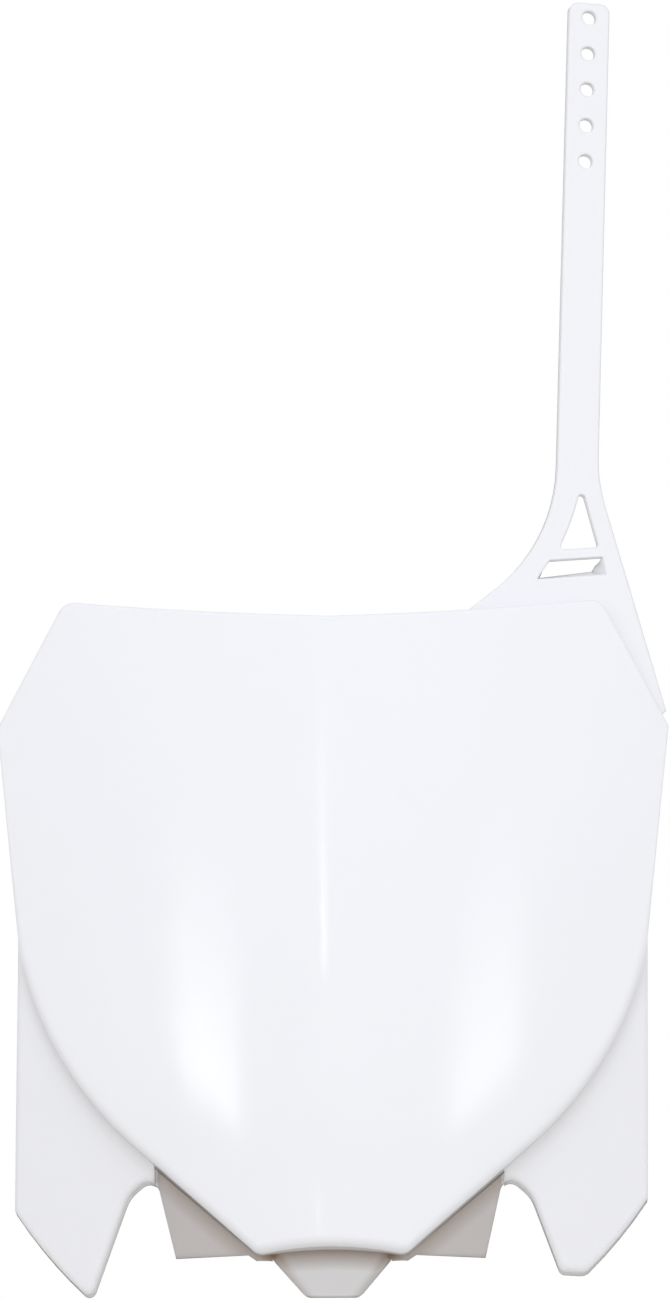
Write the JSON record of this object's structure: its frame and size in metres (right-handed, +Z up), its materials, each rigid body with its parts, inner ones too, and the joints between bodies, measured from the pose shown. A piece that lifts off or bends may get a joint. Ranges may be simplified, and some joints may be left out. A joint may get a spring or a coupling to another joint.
{
  "type": "racing number board",
  "caption": "Moulded front number board for a motorbike: a curved shield with set-back ears, a flared skirt with a tongue, and a perforated strap from one top corner.",
  "frame": {"origin": "middle of the upper face of the lower tongue, where the board is pressed on the bike's bracket", "axes": "+X to the right as seen from the front, +Y to the back, +Z up along the strap"},
  "size_m": [0.245, 0.065, 0.4833],
  "materials": {
    "white_plastic": "glossy white polypropylene, as moulded"
  },
  "bodies": {
    "root": {"number_board": "white_plastic"}
  },
  "joints": []
}
